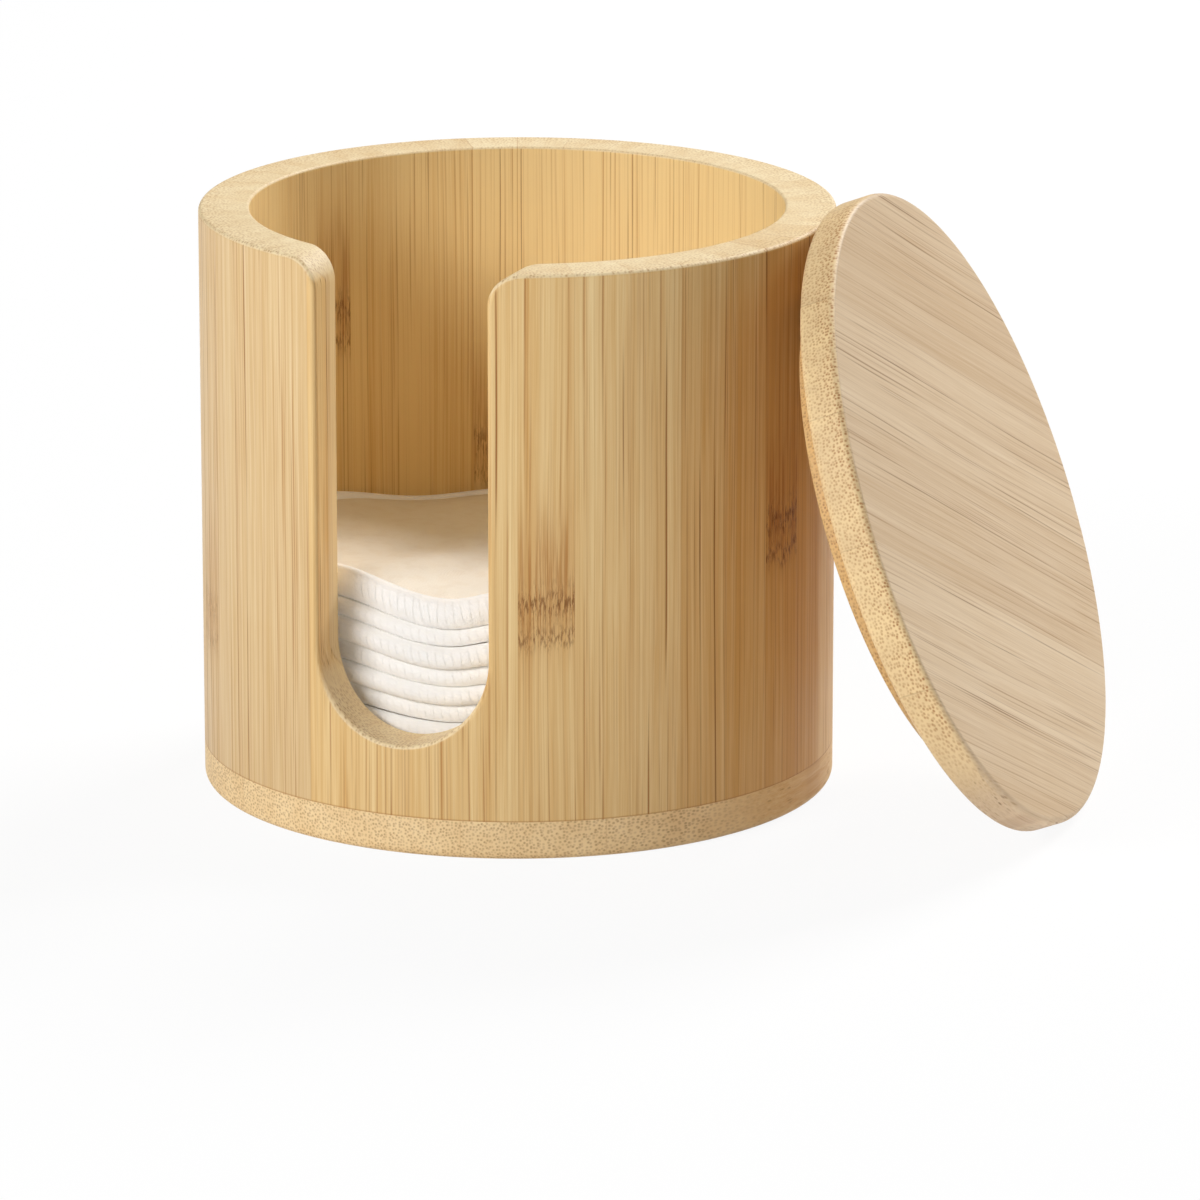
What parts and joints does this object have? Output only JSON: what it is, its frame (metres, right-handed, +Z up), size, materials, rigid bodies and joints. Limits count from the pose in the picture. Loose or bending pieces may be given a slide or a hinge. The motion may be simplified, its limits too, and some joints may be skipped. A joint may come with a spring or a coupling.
{
  "type": "bamboo storage container",
  "caption": "Round container of glued bamboo staves with a U-shaped front slot, a loose bamboo lid leaning on its side, and a stack of soft cotton pads inside.",
  "frame": {"origin": "centre of the base's underside, on the container's axis", "axes": "+Z up along the container's axis, -Y out through the front slot, +X towards the side where the lid leans"},
  "size_m": [0.143, 0.1051, 0.0968],
  "materials": {
    "stave_bamboo": "fine sanded bamboo, upright grain, clear satin",
    "base_bamboo": "sanded bamboo board, end grain on the edge",
    "lid_bamboo": "sanded bamboo board, long grain on the face",
    "cotton_cloth": "brushed white cotton, sewn edge"
  },
  "bodies": {
    "container": {"stave_01": "stave_bamboo", "stave_02": "stave_bamboo", "stave_03": "stave_bamboo", "stave_04": "stave_bamboo", "stave_05": "stave_bamboo", "stave_06": "stave_bamboo", "stave_07": "stave_bamboo", "stave_08": "stave_bamboo", "stave_09": "stave_bamboo", "stave_10": "stave_bamboo", "stave_11": "stave_bamboo", "stave_12": "stave_bamboo", "stave_13": "stave_bamboo", "stave_14": "stave_bamboo", "stave_15": "stave_bamboo", "stave_16": "stave_bamboo", "stave_17": "stave_bamboo", "stave_18": "stave_bamboo", "stave_19": "stave_bamboo", "stave_20": "stave_bamboo", "stave_21": "stave_bamboo", "stave_22": "stave_bamboo", "stave_23": "stave_bamboo", "stave_24": "stave_bamboo", "stave_25": "stave_bamboo", "stave_26": "stave_bamboo", "stave_27": "stave_bamboo", "stave_28": "stave_bamboo", "stave_29": "stave_bamboo", "stave_30": "stave_bamboo", "stave_31": "stave_bamboo", "stave_32": "stave_bamboo", "stave_33": "stave_bamboo", "stave_34": "stave_bamboo", "stave_35": "stave_bamboo", "stave_36": "stave_bamboo", "base_strip_1": "base_bamboo", "base_strip_2": "base_bamboo", "base_strip_3": "base_bamboo", "base_strip_4": "base_bamboo", "base_strip_5": "base_bamboo"},
    "lid": {"lid_strip_1": "lid_bamboo", "lid_strip_2": "lid_bamboo", "lid_strip_3": "lid_bamboo", "lid_strip_4": "lid_bamboo", "lid_strip_5": "lid_bamboo", "lid_strip_6": "lid_bamboo", "lid_plug": "lid_bamboo"},
    "pad_1": {"cotton_pad_1": "cotton_cloth"},
    "pad_2": {"cotton_pad_2": "cotton_cloth"},
    "pad_3": {"cotton_pad_3": "cotton_cloth"},
    "pad_4": {"cotton_pad_4": "cotton_cloth"},
    "pad_5": {"cotton_pad_5": "cotton_cloth"},
    "pad_6": {"cotton_pad_6": "cotton_cloth"},
    "pad_7": {"cotton_pad_7": "cotton_cloth"},
    "pad_8": {"cotton_pad_8": "cotton_cloth"},
    "pad_9": {"cotton_pad_9": "cotton_cloth"},
    "pad_10": {"cotton_pad_10": "cotton_cloth"}
  },
  "joints": [
    {"name": "lid_lift", "type": "slide", "parent": "container", "child": "lid", "axis": [0, 0, 1], "range_m": [0, 0.11]},
    {"name": "pad_1_lift", "type": "slide", "parent": "container", "child": "pad_1", "axis": [0, 0, 1], "range_m": [0, 0.092]},
    {"name": "pad_2_lift", "type": "slide", "parent": "pad_1", "child": "pad_2", "axis": [0, 0, 1], "range_m": [0, 0.089]},
    {"name": "pad_3_lift", "type": "slide", "parent": "pad_2", "child": "pad_3", "axis": [0, 0, 1], "range_m": [0, 0.086]},
    {"name": "pad_4_lift", "type": "slide", "parent": "pad_3", "child": "pad_4", "axis": [0, 0, 1], "range_m": [0, 0.083]},
    {"name": "pad_5_lift", "type": "slide", "parent": "pad_4", "child": "pad_5", "axis": [0, 0, 1], "range_m": [0, 0.08]},
    {"name": "pad_6_lift", "type": "slide", "parent": "pad_5", "child": "pad_6", "axis": [0, 0, 1], "range_m": [0, 0.076]},
    {"name": "pad_7_lift", "type": "slide", "parent": "pad_6", "child": "pad_7", "axis": [0, 0, 1], "range_m": [0, 0.073]},
    {"name": "pad_8_lift", "type": "slide", "parent": "pad_7", "child": "pad_8", "axis": [0, 0, 1], "range_m": [0, 0.07]},
    {"name": "pad_9_lift", "type": "slide", "parent": "pad_8", "child": "pad_9", "axis": [0, 0, 1], "range_m": [0, 0.067]},
    {"name": "pad_10_lift", "type": "slide", "parent": "pad_9", "child": "pad_10", "axis": [0, 0, 1], "range_m": [0, 0.064]}
  ]
}
